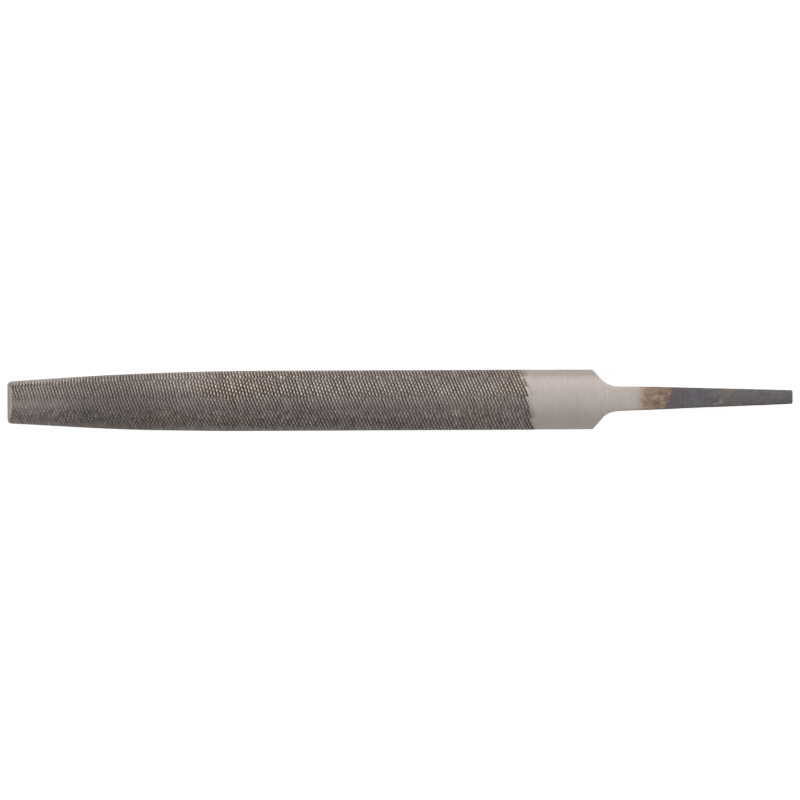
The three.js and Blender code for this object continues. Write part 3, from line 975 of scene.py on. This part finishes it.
def film_patch(s0, y0, long, wide, amount):
    """amount at (s0, y0), falling to 0 over an oval around it."""
    a = math_node("MULTIPLY", math_node("SUBTRACT", s_mm, s0), 1 / long)
    b = math_node("MULTIPLY", math_node("SUBTRACT", y_mm, y0), 1 / wide)
    d = math_node("ADD", math_node("MULTIPLY", a, a), math_node("MULTIPLY", b, b))
    return remap(d, 1.0, 0.0, 0.0, amount)


warm = math_node("MULTIPLY", remap(noise(coord, 75, 3.0, 0.6), 0.50, 0.70), 0.10)
for patch_at in ((58.0, 3.2, 14.0, 3.6, 0.34), (66.0, 6.9, 20.0, 2.0, 0.10), (40.5, -4.6, 8.0, 2.2, 0.26),
                 (56.0, -4.9, 9.0, 2.0, 0.24), (102.0, 3.0, 28.0, 3.2, 0.10), (131.0, 3.4, 8.0, 3.6, 0.26), (130.0, 6.8, 7.0, 1.8, 0.22)):
    warm = math_node("ADD", warm, film_patch(*patch_at))
warm = math_node("MULTIPLY", warm, math_node("ADD", 0.45, math_node("MULTIPLY", noise(coord, 900, 2.0, 0.6), 1.1)), clamp=True)
warm = math_node("MULTIPLY", warm, remap(z_mm, 0.35, 0.7))
tooth = mix(warm, tooth, mix(1.0, tooth, (1.12, 0.97, 0.76), "MULTIPLY"))
# and a few small brown stains
stain = film_patch(51.2, 1.9, 1.9, 1.3, 0.50)
for patch_at in ((57.4, 0.1, 2.0, 1.4, 0.75), (72.3, 1.3, 2.4, 1.1, 0.60), (120.5, -4.4, 6.5, 1.4, 0.36), (95.5, -3.4, 3.5, 1.1, 0.25),
                 (44.0, -3.9, 3.0, 1.1, 0.25), (131.4, 3.0, 1.6, 1.3, 0.35)):
    stain = math_node("ADD", stain, film_patch(*patch_at))
stain = math_node("MULTIPLY", stain, remap(noise(coord, 1150, 3.0, 0.6, 0.5), 0.32, 0.58), clamp=True)
stain = math_node("MULTIPLY", stain, remap(z_mm, 0.35, 0.7))
tooth = mix(stain, tooth, mix(1.0, tooth, (0.92, 0.78, 0.62), "MULTIPLY"))
tint_rgb = nt.nodes.new("ShaderNodeCombineColor")
# the tint attribute with its painted light and shade, times a cloudy dirt tone
tint_mul = math_node("ADD", math_node("MULTIPLY", math_node("SUBTRACT", a_tint, 1.0), 0.9), 1.0)
dirt_and_shade = math_node("MULTIPLY", tint_mul, math_node("ADD", math_node("MULTIPLY", math_node("SUBTRACT", cloud, 0.5), 0.28), 1.0))
for k in range(3):
    link(dirt_and_shade, tint_rgb.inputs[k])
tooth = mix(1.0, tooth, tint_rgb.outputs[0], "MULTIPLY")

in_cut = remap(a_cut, 0.15, 0.75)
colour = mix(in_cut, plain, tooth)

rough_plain = math_node("ADD", math_node("MULTIPLY", math_node("SUBTRACT", fine, 0.5), 0.22),
                        math_node("ADD", 0.42, math_node("MULTIPLY", scale_zone, 0.10)))
rough_cut = math_node("ADD", 0.33, math_node("MULTIPLY", groove_soft, 0.30))
rough = math_node("ADD", math_node("MULTIPLY", rough_plain, math_node("SUBTRACT", 1.0, in_cut)),
                  math_node("MULTIPLY", rough_cut, in_cut), clamp=True)

height = math_node("ADD", math_node("MULTIPLY", fine, 1.0), math_node("MULTIPLY", medium, 1.2))
pits = math_node("MULTIPLY", math_node("MULTIPLY", speck, scale_zone), 2.5)
height = math_node("ADD", height, pits)
height = math_node("MULTIPLY", height, math_node("SUBTRACT", 1.0, math_node("MULTIPLY", in_cut, 0.7)))
bump = nt.nodes.new("ShaderNodeBump")
bump.inputs["Strength"].default_value = 1.0
bump.inputs["Distance"].default_value = 0.0000014
link(height, bump.inputs["Height"])

bsdf = nt.nodes.new("ShaderNodeBsdfPrincipled")
bsdf.inputs["Metallic"].default_value = 1.0
link(colour, bsdf.inputs["Base Color"])
link(rough, bsdf.inputs["Roughness"])
link(bump.outputs["Normal"], bsdf.inputs["Normal"])
out = nt.nodes.new("ShaderNodeOutputMaterial")
link(bsdf.outputs[0], out.inputs["Surface"])
mesh.materials.append(mat)

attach(body, "root")
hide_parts("file_body")

# ---------------------------------------------------------------------------
# Floor, light and camera
# ---------------------------------------------------------------------------
floor_mesh = bpy.data.meshes.new("floor")
r = 3.0
floor_mesh.from_pydata([(-r, -r, -0.00004), (r, -r, -0.00004), (r, r, -0.00004), (-r, r, -0.00004)], [], [(0, 1, 2, 3)])
floor = bpy.data.objects.new("floor", floor_mesh)
bpy.context.scene.collection.objects.link(floor)
fm = bpy.data.materials.new("floor_finish")
fm.use_nodes = True
fn = fm.node_tree
fb = fn.nodes["Principled BSDF"]
fb.inputs["Roughness"].default_value = 0.9
fb.inputs["Specular IOR Level"].default_value = 0.0
# the floor is just exposed to white, and gives the steel a duller reflection
fl = fn.nodes.new("ShaderNodeLightPath")
fx = fn.nodes.new("ShaderNodeMix")
fx.data_type = "RGBA"
fn.links.new(fl.outputs["Is Camera Ray"], fx.inputs[0])
fx.inputs[6].default_value = (0.72, 0.71, 0.72, 1)
fx.inputs[7].default_value = (0.20, 0.20, 0.20, 1)
fn.links.new(fx.outputs[2], fb.inputs["Base Color"])
fe = fn.nodes.new("ShaderNodeMath")
fe.operation = "MULTIPLY"
fn.links.new(fl.outputs["Is Camera Ray"], fe.inputs[0])
fe.inputs[1].default_value = 0.90
fb.inputs["Emission Color"].default_value = (1, 1, 1, 1)
fn.links.new(fe.outputs[0], fb.inputs["Emission Strength"])
floor_mesh.materials.append(fm)

# a plain studio: soft light all round, a little stronger from the +Y side
world = bpy.data.worlds.new("studio")
bpy.context.scene.world = world
world.use_nodes = True
wt = world.node_tree
bg = wt.nodes["Background"]
wc = wt.nodes.new("ShaderNodeTexCoord")
ws = wt.nodes.new("ShaderNodeSeparateXYZ")
wt.links.new(wc.outputs["Generated"], ws.inputs[0])
wm = wt.nodes.new("ShaderNodeFloatCurve")
wr = wt.nodes.new("ShaderNodeMapRange")
wt.links.new(ws.outputs["Y"], wr.inputs["Value"])
wr.inputs["From Min"].default_value = -1.0
wt.links.new(wr.outputs["Result"], wm.inputs["Value"])
curve = wm.mapping.curves[0]
points = [(-1.0, 0.52), (-0.80, 0.575), (-0.55, 0.67), (-0.30, 0.775), (-0.05, 0.855), (0.20, 0.895), (0.50, 0.915), (1.0, 0.93)]
curve.points[0].location = ((points[0][0] + 1) / 2, points[0][1])
curve.points[1].location = ((points[-1][0] + 1) / 2, points[-1][1])
for at, value in points[1:-1]:
    curve.points.new((at + 1) / 2, value)
wm.mapping.update()
bg.inputs["Color"].default_value = (1.0, 1.0, 1.0, 1)
wl = wt.nodes.new("ShaderNodeLightPath")
wx = wt.nodes.new("ShaderNodeMix")
wx.data_type = "FLOAT"
wt.links.new(wl.outputs["Is Camera Ray"], wx.inputs[0])
wt.links.new(wm.outputs["Value"], wx.inputs[2])
wx.inputs[3].default_value = 1.0
wt.links.new(wx.outputs[0], bg.inputs["Strength"])


def area(name, loc, look, size, power, size_y=None, colour=(1, 1, 1)):
    data = bpy.data.lights.new(name, "AREA")
    data.shape = "RECTANGLE"
    data.size, data.size_y = size, size_y or size
    data.energy = power
    data.color = colour
    ob = bpy.data.objects.new(name, data)
    bpy.context.scene.collection.objects.link(ob)
    ob.location = loc
    ob.rotation_euler = (Vector(look) - Vector(loc)).to_track_quat("-Z", "Y").to_euler()
    return ob


area("key", (1.05, 1.35, 0.66), (0, 0, 0), 1.2, 8.4, 1.2, (1.0, 0.998, 0.965))

cam_data = bpy.data.cameras.new("camera")
cam = bpy.data.objects.new("camera", cam_data)
bpy.context.scene.collection.objects.link(cam)
bpy.context.scene.camera = cam
CAM_H = 1.6
VIEW_MM = 204.84
cam_data.sensor_width = 36.0
cam_data.angle = 2 * math.atan(VIEW_MM / 2000 / (CAM_H - 0.002))
cam_data.clip_end = 20
cam.location = (0.00008, 0.00004, CAM_H)
cam.rotation_euler = (0.0, 0.0, math.radians(-0.23))

bpy.context.scene.view_settings.view_transform = "Standard"
bpy.context.scene.view_settings.look = "None"
